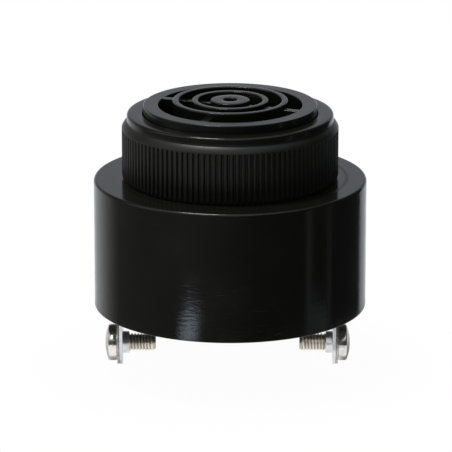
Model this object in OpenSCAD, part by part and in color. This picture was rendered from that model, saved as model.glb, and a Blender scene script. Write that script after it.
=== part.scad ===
// Panel-mount piezo alarm: a round can with a threaded neck and grille, a knurled ring nut,
// a driven brass diaphragm inside, and two screw terminals below.
// Millimetres. The origin is the middle of the shoulder that seats on the panel, +Z towards the grille.

/* [Can] */
// Diameter of the can at its shoulder
can_d = 43.3; // [40:0.1:60]
// Height of the can below its shoulder
can_h = 20.75; // [19:0.25:40]
// Outward slope of the can wall, in degrees
can_draft = 0; // [0:0.1:1.5]
// Thickness of the can wall
can_wall = 2; // [1.6:0.1:2.6]
// Thickness of the shoulder plate
shoulder_t = 2; // [1.2:0.1:3]
// Radius of the rounded shoulder edge
shoulder_round = 0.45; // [0.1:0.05:1]

/* [Neck] */
// Diameter over the neck's thread
neck_d = 28.2; // [24:0.1:32]
// Height of the rim above the shoulder
neck_h = 11.9; // [9:0.05:20]
// Height of the plain pilot at the top of the neck
pilot_h = 1.9; // [1.6:0.1:4]
// Step from the thread in to the pilot
pilot_step = 0.35; // [0.2:0.05:0.8]
// Height of the relief between the thread and the pilot's land
relief_h = 0.8; // [0.3:0.1:0.9]
// Depth of the relief in the pilot
relief_depth = 0.25; // [0.2:0.05:0.4]
// Width of the flat rim round the grille
rim_w = 2.35; // [1.6:0.05:3]

/* [Grille] */
// Thickness of the grille's arms
arm_t = 1.2; // [0.8:0.1:2]
// Width of an arm
arm_w = 1.3; // [0.6:0.05:2]
// Number of arms
arm_count = 4; // [3:1:6]
// Turn of the first arm from +X, in degrees
arm_turn = -21; // [-45:1:45]
// Height of the rings and hub above the rim
ring_rise = 0.75; // [0.2:0.05:1.5]
// Width of each ring
ring_w = 0.95; // [0.6:0.05:1.4]
// Outer diameter of the outer ring
outer_ring_d = 18.2; // [16:0.1:20]
// Outer diameter of the inner ring
inner_ring_d = 12.1; // [10:0.1:14]
// Diameter of the hub
hub_d = 6.2; // [4:0.1:7.5]
// Diameter of the hole in the hub
hub_hole_d = 2.2; // [1:0.1:3]

/* [Ring nut] */
// Wall of the nut, from the bore to the ribs' crests
nut_wall = 2.95; // [2:0.05:5]
// Distance from the rim down to the nut's top
nut_drop = 1.3; // [1:0.05:1.5]
// Clearance of the nut over the neck
nut_clearance = 0.1; // [0.05:0.01:0.2]
// Clearance under the nut
nut_lift = 0.05; // [0.02:0.01:0.1]
// Number of ribs round the nut
rib_count = 117; // [40:1:150]
// Width of a groove between ribs, at the crests
groove_w = 0.5; // [0.2:0.05:0.6]
// Width of a groove at its floor
groove_floor = 0.2; // [0.1:0.05:0.2]
// Depth of a groove
groove_depth = 0.35; // [0.15:0.05:0.5]
// Step from the ribs' crests in to the collar
collar_step = 0.8; // [0.55:0.05:1]
// Height of the plain collar on top
collar_h = 1.25; // [0.8:0.05:3]
// Height of the sloped band between the ribs and the collar
band_h = 1; // [0.4:0.1:2]
// Radius of the band's outward curve
band_round = 2.3; // [1.5:0.1:6]
// Inward reach of the chamfer under the ribs
nut_chamfer = 0.3; // [0.2:0.05:1]
// Height of the chamfer under the ribs
nut_chamfer_h = 1.05; // [0.3:0.05:2]
// Radius of the collar's rounded edges
collar_round = 0.25; // [0.1:0.05:0.5]

/* [Sound element] */
// Gap from the diaphragm's edge to the can's bore
diaphragm_margin = 2; // [1.8:0.1:3]
// Thickness of the brass diaphragm
diaphragm_t = 0.25; // [0.2:0.05:0.5]
// Width of the diaphragm's clamped edge
clamp_w = 2.3; // [1.5:0.1:2.6]
// Height of the rib that the diaphragm seats under
seat_h = 1; // [0.5:0.1:2]
// Thickness of the gasket on the diaphragm
gasket_t = 0.5; // [0.3:0.1:1]
// Gap from the ceramic disc's edge to the clamped edge
ceramic_margin = 2.7; // [2:0.1:4]
// Thickness of the ceramic disc
ceramic_t = 0.25; // [0.2:0.05:0.5]
// Gap from the electrode's edge to the ceramic's edge
electrode_margin = 1; // [0.5:0.1:2]
// Thickness of the silver electrode
electrode_t = 0.05; // [0.03:0.01:0.1]
// Width of the feedback strip of the electrode
feedback_w = 3; // [2:0.1:4]
// Length of the feedback strip
feedback_l = 5; // [4:0.1:6]
// Bare gap round the feedback strip
feedback_gap = 0.5; // [0.3:0.1:1]

/* [Retainer] */
// Height from the diaphragm down to the board
retainer_h = 4.5; // [4:0.1:7]
// Wall of the retainer's skirt
retainer_wall = 1.4; // [1:0.1:1.6]
// Thickness of the flange that presses on the diaphragm
flange_t = 1; // [0.6:0.1:1.5]
// Gap between the retainer's lip and the shoulder plate
lip_gap = 0.3; // [0.1:0.1:0.6]
// Sliding clearance of the pieces that fit in the can
fit_gap = 0.1; // [0.05:0.01:0.2]

/* [Circuit board] */
// Thickness of the board
board_t = 1.2; // [0.8:0.1:1.6]
// Gap from the board's edge to the can's bore
board_gap = 0.3; // [0.2:0.1:0.8]
// Distance of the small parts from the middle of the board
part_r = 9; // [8.5:0.1:10.5]
// Diameter of the choke's flanges
choke_d = 8; // [6:0.1:9]
// Height of the choke
choke_h = 5; // [3:0.1:5.5]
// Thickness of the choke's flanges
choke_flange_t = 0.9; // [0.5:0.1:1.2]
// Diameter of the choke's middle
choke_core_d = 4; // [2:0.1:5]
// Gap from the winding's surface to the flanges' edge
winding_inset = 0.4; // [0.2:0.1:0.6]
// Length of a chip resistor or capacitor
chip_l = 3.2; // [2:0.1:4]
// Width of a chip resistor or capacitor
chip_w = 1.6; // [1:0.1:2]
// Thickness of a chip resistor
resistor_t = 0.6; // [0.4:0.05:0.8]
// Thickness of the chip capacitor
capacitor_t = 1.2; // [0.6:0.1:1.6]
// Length of the metal cap on a chip's end
chip_cap = 0.5; // [0.3:0.1:0.8]
// Thickness of the metal cap on a chip's end
chip_skin = 0.05; // [0.03:0.01:0.1]
// Length of the transistor's body
transistor_l = 2.9; // [2.4:0.1:3.5]
// Width of the transistor's body
transistor_w = 1.3; // [1:0.1:1.8]
// Thickness of the transistor's body
transistor_t = 1; // [0.7:0.1:1.4]
// Length of the diode's body
diode_l = 4.2; // [3.5:0.1:4.5]
// Width of the diode's body
diode_w = 2.6; // [2:0.1:3]
// Thickness of the diode's body
diode_t = 2; // [1.5:0.1:2.4]
// Reach of a flat leg beyond its part's body
leg_reach = 0.7; // [0.4:0.1:1]
// Width of a flat leg
leg_w = 0.45; // [0.3:0.05:0.6]
// Thickness of a flat leg
leg_t = 0.15; // [0.1:0.01:0.2]

/* [Lead wires] */
// Diameter of a lead wire
wire_d = 0.7; // [0.4:0.1:0.9]
// Radius of a lead wire's bends
wire_bend = 1; // [0.6:0.1:1.2]
// Distance from the middle where the drive lead leaves the board
drive_board_r = 9; // [8:0.5:11]
// Distance from the middle where the drive lead meets the electrode
drive_element_r = 4; // [3:0.5:5]
// Distance from the middle where the ground lead leaves the board
ground_board_r = 10; // [8:0.5:10.5]
// Distance from the middle where the feedback lead leaves the board
feedback_board_r = 5; // [3:0.5:5.5]

/* [Back plate] */
// Thickness of the back plate
plate_t = 2; // [1.2:0.1:3]
// Depth of the plate's face inside the can's foot
plate_recess = 0.3; // [0.1:0.1:1]
// Width of the ledge that the plate seats on
plate_ledge = 0.7; // [0.4:0.1:0.9]
// Diameter of the posts that hold the board
post_d = 3; // [2:0.1:4]
// Number of posts
post_count = 4; // [4:2:8]
// Distance of the posts' axes from the board's edge
post_inset = 3; // [2:0.1:4]

/* [Terminals] */
// Thickness of a terminal strip
strip_t = 0.5; // [0.4:0.05:0.8]
// Width of a terminal strip
strip_w = 7.1; // [6:0.1:8]
// Gap from the can's bore to the outer face of a terminal
strip_inset = 2.32; // [2.1:0.02:3.5]
// Shift of the pair of terminals from the can's axis towards the left
terminal_shift = 0.4; // [0:0.05:0.5]
// Distance from the can's foot down to the terminal screws
screw_drop = 6.8; // [4.5:0.1:12]
// Clearance of a strip in its slots
slot_gap = 0.1; // [0.05:0.01:0.2]
// Reach of the stop lugs beside a strip
lug_reach = 0.8; // [0.4:0.1:1.2]
// Height of the stop lugs
lug_h = 1.2; // [0.6:0.1:2]
// Width of the tail that is soldered to the board
tail_w = 2; // [1:0.1:2.4]
// Length of the tail above the board
tail_out = 0.8; // [0.4:0.1:1.5]
// Diameter of the tapped boss
boss_d = 3.5; // [3.2:0.1:4.6]
// Length of the tapped boss
boss_l = 1.1; // [0.6:0.1:2]

/* [Terminal screws] */
// Diameter over the screw's thread
screw_d = 2.6; // [2:0.05:3]
// Length of the screw under its head
screw_l = 6.2; // [4:0.1:10]
// Running clearance of the screw in the tapped boss
screw_gap = 0.05; // [0.03:0.01:0.1]
// Chamfer on the screw's tip
tip_chamfer = 0.4; // [0.1:0.05:0.6]
// Diameter of the screw's head
head_d = 5.9; // [5:0.1:6.6]
// Height of the screw's head
head_h = 1.9; // [1.5:0.1:2.6]
// Height of the straight side of the head
head_side = 1.4; // [0.5:0.1:1.4]
// Length of the cross recess
recess_l = 3; // [2:0.1:3.6]
// Width of the cross recess
recess_w = 0.7; // [0.4:0.05:1]
// Depth of the cross recess
recess_depth = 1.1; // [0.6:0.1:1.3]
// Diameter of the toothed lock washer
washer_d = 7; // [6.6:0.1:8]
// Thickness of the lock washer
washer_t = 0.4; // [0.3:0.05:0.6]
// Clearance of the lock washer round the screw
washer_gap = 0.15; // [0.1:0.01:0.3]
// Number of teeth on the lock washer
tooth_count = 44; // [10:1:60]
// Width of the notches between the teeth
notch_w = 0.2; // [0.1:0.05:0.3]
// Depth of the notches between the teeth
notch_depth = 0.2; // [0.1:0.05:0.5]

/* [Hidden] */
$fn = 96;

// Overshoot of a cut past the face that it opens
cut = 1;

// Radii of the can and the neck
can_r = can_d / 2;
can_foot_r = can_r + (can_h - shoulder_round) * tan(can_draft);
bore_r = can_r - can_wall;
plate_bore_r = bore_r + plate_ledge;
neck_r = neck_d / 2;
pilot_r = neck_r - pilot_step;
relief_r = pilot_r - relief_depth;
neck_bore_r = pilot_r - rim_w;

// Radii of the nut
nut_bore_r = neck_r + nut_clearance;
nut_lip_r = pilot_r + nut_clearance;
nut_r = nut_bore_r + nut_wall;
collar_r = nut_r - collar_step;

// Heights of the neck's thread, the nut's lip round the pilot, and the nut's top
thread_top_z = neck_h - pilot_h;
nut_lip_z = thread_top_z + nut_clearance;
nut_top_z = neck_h - nut_drop;

// Radii of the pieces inside
diaphragm_r = bore_r - diaphragm_margin;
clamp_r = diaphragm_r - clamp_w;
ceramic_r = clamp_r - ceramic_margin;
electrode_r = ceramic_r - electrode_margin;
retainer_r = bore_r - fit_gap;
board_r = bore_r - board_gap;
post_r = board_r - post_inset;

// Heights of the stack, from the shoulder down to the foot
ceiling_z = -shoulder_t;
seat_z = ceiling_z - seat_h;
diaphragm_z = seat_z - gasket_t - diaphragm_t;
ceramic_z = diaphragm_z - ceramic_t;
electrode_z = ceramic_z - electrode_t;
board_top_z = diaphragm_z - retainer_h;
board_z = board_top_z - board_t;
plate_z = -can_h + plate_recess;
plate_top_z = plate_z + plate_t;

// Places of the terminals
strip_x = bore_r - strip_inset;
screw_z = -can_h - screw_drop;

// Turns of the small parts round the board, in degrees
transistor_turn = 45;
diode_turn = 135;
drive_resistor_turn = 225;
bias_resistor_turn = 270;
capacitor_turn = 315;

// Turns of the lead wires round the board, in degrees
drive_lead_turn = 30;
ground_lead_turn = 150;
feedback_lead_turn = 270;

// Places of the lead wires' ends on the sound element
ground_element_r = clamp_r - ceramic_margin / 2;
feedback_element_r = electrode_r - feedback_l / 2;

// Waste outside a rounded corner at [0, 0] that points to +X and +Y
module corner_waste(r) {
    translate([-r, -r])
        difference() {
            square(r + cut);
            circle(r);
        }
}

// Can, shoulder and neck in one section, with the neck's thread drawn plain
module shell() {
    land_z = thread_top_z + relief_h;
    rotate_extrude()
        difference() {
            polygon([
                [can_foot_r, -can_h],
                [can_r, -shoulder_round],
                [can_r, 0],
                [neck_r, 0],
                [neck_r, thread_top_z - pilot_step],
                [relief_r, thread_top_z],
                [relief_r, land_z],
                [pilot_r, land_z],
                [pilot_r, neck_h],
                [neck_bore_r, neck_h],
                [neck_bore_r, ceiling_z],
                [clamp_r, ceiling_z],
                [clamp_r, seat_z],
                [diaphragm_r, seat_z],
                [diaphragm_r, ceiling_z],
                [bore_r, ceiling_z],
                [bore_r, plate_top_z],
                [plate_bore_r, plate_top_z],
                [plate_bore_r, -can_h]
            ]);
            translate([can_r, 0])
                corner_waste(shoulder_round);
        }
}

// Flat ring or disc with its lower face at z
module washer_disc(inner, outer, z, t) {
    translate([0, 0, z])
        linear_extrude(t)
            difference() {
                circle(outer);
                if (inner > 0)
                    circle(inner);
            }
}

// Two raised rings and a hub, carried by arms that are flush with the rim
module grille() {
    arm_z = neck_h - arm_t;
    hub_r = hub_d / 2;
    arm_start = (hub_r + hub_hole_d / 2) / 2;
    washer_disc(hub_hole_d / 2, hub_r, arm_z, arm_t + ring_rise);
    for (d = [inner_ring_d, outer_ring_d])
        washer_disc(d / 2 - ring_w, d / 2, arm_z, arm_t + ring_rise);
    for (i = [0 : arm_count - 1])
        rotate(arm_turn + i * 360 / arm_count)
            translate([arm_start, -arm_w / 2, arm_z])
                cube([neck_bore_r + rim_w / 2 - arm_start, arm_w, arm_t]);
}

// One moulding: can, shoulder, neck and grille
module housing() {
    color("#1b1b1b")
        union() {
            shell();
            grille();
        }
}

// Outline of the ribbed nut, with grooves that narrow towards their floor
module rib_outline() {
    difference() {
        circle(nut_r);
        for (i = [0 : rib_count - 1])
            rotate(i * 360 / rib_count)
                polygon([
                    [nut_r - groove_depth, -groove_floor / 2],
                    [nut_r + groove_depth, groove_floor / 2 - groove_w],
                    [nut_r + groove_depth, groove_w - groove_floor / 2],
                    [nut_r - groove_depth, groove_floor / 2]
                ]);
    }
}

// Waste round the nut: the chamfer under the ribs and the curve of the band above them
module nut_waste() {
    ribs_top = nut_top_z - collar_h - band_h;
    band_top = ribs_top + band_h;
    slope = band_h / collar_step;
    steep = nut_chamfer_h / nut_chamfer;
    chord = norm([collar_step, band_h]);
    inset = sqrt(band_round * band_round - chord * chord / 4) / chord;
    band_centre = [
        collar_r + collar_step / 2 - inset * band_h,
        ribs_top + band_h / 2 - inset * collar_step
    ];
    rotate_extrude() {
        polygon([
            [nut_r - nut_chamfer - cut, nut_lift - cut * steep],
            [nut_r + cut, nut_lift - cut * steep],
            [nut_r + cut, nut_lift + nut_chamfer_h + cut * steep]
        ]);
        difference() {
            polygon([
                [collar_r, band_top],
                [nut_r + cut, ribs_top - cut * slope],
                [nut_r + cut, band_top + cut],
                [collar_r, band_top + cut]
            ]);
            translate(band_centre)
                circle(band_round);
        }
    }
}

// Plain collar on top of the ribs
module collar() {
    rotate_extrude()
        difference() {
            translate([nut_lip_r, nut_top_z - collar_h - band_h])
                square([collar_r - nut_lip_r, collar_h + band_h]);
            translate([collar_r, nut_top_z])
                corner_waste(collar_round);
        }
}

// Bore of the nut, with its thread drawn plain and a lip at the top
module nut_bore() {
    rotate_extrude()
        polygon([
            [0, nut_lift - cut],
            [nut_bore_r, nut_lift - cut],
            [nut_bore_r, nut_lip_z],
            [nut_lip_r, nut_lip_z],
            [nut_lip_r, nut_top_z + cut],
            [0, nut_top_z + cut]
        ]);
}

// Knurled nut that clamps the panel against the shoulder
module ring_nut() {
    color("#202020")
        difference() {
            union() {
                difference() {
                    translate([0, 0, nut_lift])
                        linear_extrude(nut_top_z - collar_h - nut_lift)
                            rib_outline();
                    nut_waste();
                }
                collar();
            }
            nut_bore();
        }
}

// Soft ring between the seat rib and the diaphragm
module diaphragm_gasket() {
    color("#3c3c3e")
        washer_disc(clamp_r, diaphragm_r, seat_z - gasket_t, gasket_t);
}

// Thin brass plate that the ceramic bends
module brass_diaphragm() {
    color("#c9a24b")
        washer_disc(0, diaphragm_r, diaphragm_z, diaphragm_t);
}

// Ceramic disc bonded under the brass plate
module piezo_ceramic() {
    color("#d8d2c0")
        washer_disc(0, ceramic_r, ceramic_z, ceramic_t);
}

// Outline of the feedback strip, grown all round by a margin
module feedback_outline(grow) {
    translate([-feedback_w / 2 - grow, -electrode_r - cut])
        square([feedback_w + 2 * grow, feedback_l + cut + grow]);
}

// Silver face on the ceramic, split into a drive field and a feedback strip
module silver_electrode() {
    color("#c8c8c8")
        translate([0, 0, electrode_z])
            linear_extrude(electrode_t) {
                difference() {
                    circle(electrode_r);
                    feedback_outline(feedback_gap);
                }
                intersection() {
                    circle(electrode_r);
                    feedback_outline(0);
                }
            }
}

// Ring that clamps the diaphragm and spaces the board below it
module retainer_ring() {
    lip_r = diaphragm_r + fit_gap;
    skirt_r = retainer_r - retainer_wall;
    color("#2b2b2b")
        rotate_extrude()
            polygon([
                [clamp_r, diaphragm_z],
                [lip_r, diaphragm_z],
                [lip_r, ceiling_z - lip_gap],
                [retainer_r, ceiling_z - lip_gap],
                [retainer_r, board_top_z],
                [skirt_r, board_top_z],
                [skirt_r, diaphragm_z - flange_t],
                [clamp_r, diaphragm_z - flange_t]
            ]);
}

// Terminal's side of the can: 0 for the right, 1 for its mirror image on the left
module on_side(side) {
    translate([-terminal_shift, 0, 0])
        mirror([side, 0, 0])
            children();
}

// Round board with a slot for each terminal's tail
module circuit_board() {
    color("#2f6b3a")
        translate([0, 0, board_z])
            linear_extrude(board_t)
                difference() {
                    circle(board_r);
                    for (side = [0, 1])
                        on_side(side)
                            translate([strip_x - strip_t - slot_gap, -tail_w / 2 - slot_gap])
                                square([strip_t + 2 * slot_gap, tail_w + 2 * slot_gap]);
                }
}

// Ferrite drum of the choke, hanging under the board
module choke_core() {
    middle_h = choke_h - 2 * choke_flange_t;
    color("#3a3a3c")
        translate([0, 0, board_z - choke_h]) {
            cylinder(h = choke_flange_t, d = choke_d);
            translate([0, 0, choke_flange_t])
                cylinder(h = middle_h, d = choke_core_d);
            translate([0, 0, choke_flange_t + middle_h])
                cylinder(h = choke_flange_t, d = choke_d);
        }
}

// Copper winding round the choke's middle
module choke_winding() {
    color("#b06a3a")
        washer_disc(
            choke_core_d / 2,
            choke_d / 2 - winding_inset,
            board_z - choke_h + choke_flange_t,
            choke_h - 2 * choke_flange_t
        );
}

// Place on the board's lower face, at an angle round the choke, with +Z pointing down
module under_board(angle) {
    rotate(angle)
        translate([part_r, 0, board_z])
            rotate([180, 0, 90])
                children();
}

// Flat foot from a part's side out to reach, lying on the board
module flat_leg(x, body_half) {
    translate([x - leg_w / 2, body_half - leg_reach, 0])
        cube([leg_w, 2 * leg_reach, leg_t]);
}

// Three-legged switching transistor
module transistor() {
    leg_pitch = transistor_l / 3;
    color("#1f1f22")
        under_board(transistor_turn) {
            translate([-transistor_l / 2, -transistor_w / 2, 0])
                cube([transistor_l, transistor_w, transistor_t]);
            flat_leg(0, transistor_w / 2);
            for (x = [-leg_pitch, leg_pitch])
                mirror([0, 1, 0])
                    flat_leg(x, transistor_w / 2);
        }
}

// Diode that guards against reversed polarity
module diode() {
    color("#232326")
        under_board(diode_turn) {
            translate([-diode_l / 2, -diode_w / 2, 0])
                cube([diode_l, diode_w, diode_t]);
            for (turn = [0, 180])
                rotate(turn)
                    translate([diode_l / 2, 0, 0])
                        rotate(-90)
                            flat_leg(0, 0);
        }
}

// Chip part with a thin metal cap over each end
module chip(t) {
    translate([-chip_l / 2, -chip_w / 2, chip_skin])
        cube([chip_l, chip_w, t]);
    for (side = [0, 1])
        mirror([side, 0, 0])
            translate([chip_l / 2 - chip_cap, -chip_w / 2 - chip_skin, 0])
                cube([chip_cap + chip_skin, chip_w + 2 * chip_skin, t + 2 * chip_skin]);
}

// Chip resistor in the drive line
module drive_resistor() {
    color("#26262a")
        under_board(drive_resistor_turn)
            chip(resistor_t);
}

// Chip resistor that sets the transistor's bias
module bias_resistor() {
    color("#26262a")
        under_board(bias_resistor_turn)
            chip(resistor_t);
}

// Chip capacitor across the supply
module capacitor() {
    color("#b08a5a")
        under_board(capacitor_turn)
            chip(capacitor_t);
}

// Quarter bend in the XZ plane that leaves [0, 0, 0] upwards and turns to +X
module quarter_bend() {
    translate([wire_bend, 0, 0])
        rotate([90, 0, 0])
            rotate(90)
                rotate_extrude(angle = 90)
                    translate([wire_bend, 0])
                        circle(d = wire_d);
}

// Lead wire from the board up to the sound element, stepping from one radius to another
module lead_wire(angle, board_end, element_end, element_z) {
    way = element_end > board_end ? 0 : 1;
    run = abs(element_end - board_end);
    rise = (element_z - board_top_z) / 2 - wire_bend;
    rotate(angle)
        translate([board_end, 0, board_top_z])
            mirror([way, 0, 0]) {
                cylinder(h = rise, d = wire_d);
                translate([0, 0, rise])
                    quarter_bend();
                translate([wire_bend, 0, rise + wire_bend])
                    rotate([0, 90, 0])
                        cylinder(h = run - 2 * wire_bend, d = wire_d);
                translate([run, 0, rise + 2 * wire_bend])
                    rotate([0, 180, 0])
                        quarter_bend();
                translate([run, 0, rise + 2 * wire_bend])
                    cylinder(h = rise, d = wire_d);
            }
}

// Lead to the electrode's drive field
module drive_lead() {
    color("#b3261e")
        lead_wire(drive_lead_turn, drive_board_r, drive_element_r, electrode_z);
}

// Lead to the bare edge of the brass plate
module ground_lead() {
    color("#1c1c1c")
        lead_wire(ground_lead_turn, ground_board_r, ground_element_r, diaphragm_z);
}

// Lead to the electrode's feedback strip
module feedback_lead() {
    color("#e4e4e0")
        lead_wire(feedback_lead_turn, feedback_board_r, feedback_element_r, electrode_z);
}

// Plate that closes the can, with posts that hold the board and a slot for each terminal
module back_plate() {
    color("#191919")
        difference() {
            union() {
                washer_disc(0, plate_bore_r - fit_gap, plate_z, plate_t);
                for (i = [0 : post_count - 1])
                    rotate((i + 0.5) * 360 / post_count)
                        translate([post_r, 0, plate_z])
                            cylinder(h = board_z - plate_z, d = post_d);
            }
            for (side = [0, 1])
                on_side(side)
                    translate([strip_x - strip_t - slot_gap, -strip_w / 2 - slot_gap, plate_z - cut])
                        cube([strip_t + 2 * slot_gap, strip_w + 2 * slot_gap, plate_t + 2 * cut]);
        }
}

// Place on the screw's axis at the outer face of a terminal, with +Z pointing outwards
module at_terminal() {
    translate([strip_x, 0, screw_z])
        rotate([0, 90, 0])
            children();
}

// Outline of a terminal strip, with its screw at [0, 0] and +Y up to the board
module strip_outline() {
    plate_y = plate_top_z - screw_z;
    board_y = board_z - screw_z;
    circle(d = strip_w);
    translate([-strip_w / 2, 0])
        square([strip_w, board_y]);
    translate([-strip_w / 2 - lug_reach, plate_y])
        square([strip_w + 2 * lug_reach, lug_h]);
    translate([-tail_w / 2, board_y])
        square([tail_w, board_t + tail_out]);
}

// Stamped strip with a tapped boss
module terminal_strip() {
    at_terminal()
        difference() {
            union() {
                translate([0, 0, -strip_t])
                    linear_extrude(strip_t)
                        rotate(90)
                            strip_outline();
                translate([0, 0, -strip_t - boss_l])
                    cylinder(h = boss_l + strip_t / 2, d = boss_d);
            }
            translate([0, 0, -strip_t - boss_l - cut])
                cylinder(h = strip_t + boss_l + 2 * cut, d = screw_d + 2 * screw_gap);
        }
}

// Terminal on the left
module left_terminal() {
    color("#c4c4c0")
        on_side(1)
            terminal_strip();
}

// Terminal on the right
module right_terminal() {
    color("#c4c4c0")
        on_side(0)
            terminal_strip();
}

// Toothed washer under the screw's head
module lock_washer() {
    notch_r = washer_d / 2 - notch_depth;
    at_terminal()
        linear_extrude(washer_t)
            difference() {
                circle(d = washer_d);
                circle(screw_d / 2 + washer_gap);
                for (i = [0 : tooth_count - 1])
                    rotate(i * 360 / tooth_count)
                        translate([notch_r, -notch_w / 2])
                            square([notch_depth + cut, notch_w]);
            }
}

// Lock washer on the left
module left_lock_washer() {
    color("#d0d0cc")
        on_side(1)
            lock_washer();
}

// Lock washer on the right
module right_lock_washer() {
    color("#d0d0cc")
        on_side(0)
            lock_washer();
}

// Domed head with a cross recess
module screw_head() {
    head_r = head_d / 2;
    crown = head_h - head_side;
    dome_r = (head_r * head_r + crown * crown) / (2 * crown);
    difference() {
        rotate_extrude()
            intersection() {
                square([head_r, head_h]);
                translate([0, head_h - dome_r])
                    circle(dome_r);
            }
        for (turn = [0, 90])
            rotate(turn)
                translate([-recess_l / 2, -recess_w / 2, head_h - recess_depth])
                    cube([recess_l, recess_w, recess_depth + cut]);
    }
}

// Screw of a terminal, with its thread drawn plain
module terminal_screw() {
    at_terminal()
        translate([0, 0, washer_t]) {
            screw_head();
            translate([0, 0, tip_chamfer - screw_l])
                cylinder(h = screw_l - tip_chamfer, d = screw_d);
            translate([0, 0, -screw_l])
                cylinder(h = tip_chamfer, d1 = screw_d - 2 * tip_chamfer, d2 = screw_d);
        }
}

// Terminal screw on the left
module left_terminal_screw() {
    color("#d8d6d0")
        on_side(1)
            terminal_screw();
}

// Terminal screw on the right
module right_terminal_screw() {
    color("#d8d6d0")
        on_side(0)
            terminal_screw();
}

housing();
ring_nut();
diaphragm_gasket();
brass_diaphragm();
piezo_ceramic();
silver_electrode();
retainer_ring();
circuit_board();
choke_core();
choke_winding();
transistor();
diode();
drive_resistor();
bias_resistor();
capacitor();
drive_lead();
ground_lead();
feedback_lead();
back_plate();
left_terminal();
right_terminal();
left_lock_washer();
right_lock_washer();
left_terminal_screw();
right_terminal_screw();
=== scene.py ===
import math

import bmesh
import bpy
from mathutils import Matrix, Vector


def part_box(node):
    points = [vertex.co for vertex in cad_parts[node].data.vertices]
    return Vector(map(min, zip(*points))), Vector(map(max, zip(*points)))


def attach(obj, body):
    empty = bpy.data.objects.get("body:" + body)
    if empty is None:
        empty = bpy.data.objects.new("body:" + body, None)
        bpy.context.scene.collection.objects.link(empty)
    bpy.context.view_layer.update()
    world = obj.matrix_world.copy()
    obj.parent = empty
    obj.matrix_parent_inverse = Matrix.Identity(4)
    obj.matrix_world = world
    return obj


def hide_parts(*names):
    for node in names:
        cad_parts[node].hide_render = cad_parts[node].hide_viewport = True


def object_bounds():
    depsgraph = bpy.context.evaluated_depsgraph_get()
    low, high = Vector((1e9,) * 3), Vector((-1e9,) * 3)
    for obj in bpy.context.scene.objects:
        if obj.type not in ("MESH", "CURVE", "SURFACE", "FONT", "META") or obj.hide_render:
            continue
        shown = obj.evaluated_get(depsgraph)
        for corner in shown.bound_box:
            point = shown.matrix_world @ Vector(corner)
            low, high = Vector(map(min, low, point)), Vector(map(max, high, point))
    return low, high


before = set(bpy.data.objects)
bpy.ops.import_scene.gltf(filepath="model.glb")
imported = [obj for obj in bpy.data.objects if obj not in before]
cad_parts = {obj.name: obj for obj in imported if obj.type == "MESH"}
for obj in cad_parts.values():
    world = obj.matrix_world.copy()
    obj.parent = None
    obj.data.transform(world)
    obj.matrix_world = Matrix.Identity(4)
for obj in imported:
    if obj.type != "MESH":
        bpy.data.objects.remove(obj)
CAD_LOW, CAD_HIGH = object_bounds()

# The frame is in metres, and the sizes below are in millimetres
MM = 0.001


def box_mm(node):
    """Lowest and highest corner of a CAD node, in millimetres."""
    low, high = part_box(node)
    return low / MM, high / MM


HOUSING_LOW, HOUSING_HIGH = box_mm("housing")
NUT_LOW, NUT_HIGH = box_mm("ring_nut")
SCREW_LOW, SCREW_HIGH = box_mm("right_terminal_screw")
LEFT_STRIP_LOW = box_mm("left_terminal")[0]
RIGHT_STRIP_HIGH = box_mm("right_terminal")[1]
BOARD_LOW_Z = box_mm("circuit_board")[0].z
PLATE_LOW_Z = box_mm("back_plate")[0].z

# Two lengths closer than this are the same
SAME = 1e-6

# Can: straight outer wall, rounded shoulder, open foot
CAN_R = HOUSING_HIGH.x
CAN_FOOT_Z = HOUSING_LOW.z
SHOULDER_ROUND = 0.45
FOOT_ROUND = 0.12
FOOT_BORE_ROUND = 0.15
CAN_WALL = 2.0
CAN_BORE_R = CAN_R - CAN_WALL
PLATE_LEDGE = 0.7
PLATE_BORE_R = CAN_BORE_R + PLATE_LEDGE
PLATE_SEAT_H = 2.3
PLATE_SEAT_Z = CAN_FOOT_Z + PLATE_SEAT_H
CEILING_Z = -2.0
CEILING_ROUND = 0.3
DIAPHRAGM_MARGIN = 2.0
DIAPHRAGM_R = CAN_BORE_R - DIAPHRAGM_MARGIN
CLAMP_W = 2.3
CLAMP_R = DIAPHRAGM_R - CLAMP_W
SEAT_Z = -3.0

# Neck: threaded wall, relief, plain land and flat rim
NECK_R = 14.1
NECK_ROOT_ROUND = 0.2
GRILLE_RISE = 0.75
RIM_Z = HOUSING_HIGH.z - GRILLE_RISE
RIM_OUTER_ROUND = 0.18
RIM_INNER_ROUND = 0.15
LAND_R = 13.75
LAND_H = 1.6
LAND_Z = RIM_Z - LAND_H
RELIEF_R = 13.5
NECK_BORE_R = 11.4
THREAD_PITCH = 1.5
THREAD_DEPTH = 0.5
THREAD_FLAT = 0.2
THREAD_LOW_Z = 1.0
THREAD_DROP = 2.25
THREAD_HIGH_Z = RIM_Z - THREAD_DROP
THREAD_ROWS = 10

# Grille: arms flush with the rim that carry two raised rings and a hub
ARM_COUNT = 4
ARM_TURN = math.radians(-21)
ARM_W = 1.3
ARM_H = 1.2
ARM_LOW_Z = RIM_Z - ARM_H
ARM_LIFT = 0.02
ARM_ROOT = 0.5
ARM_ROUND = 0.1
ARM_START_R = 2.1
GRILLE_TOP_Z = HOUSING_HIGH.z
RING_W = 0.95
RING_ROUND = 0.17
OUTER_RING_R = 9.1
INNER_RING_R = 6.05
HUB_R = 3.1
HUB_HOLE_R = 1.1

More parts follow.
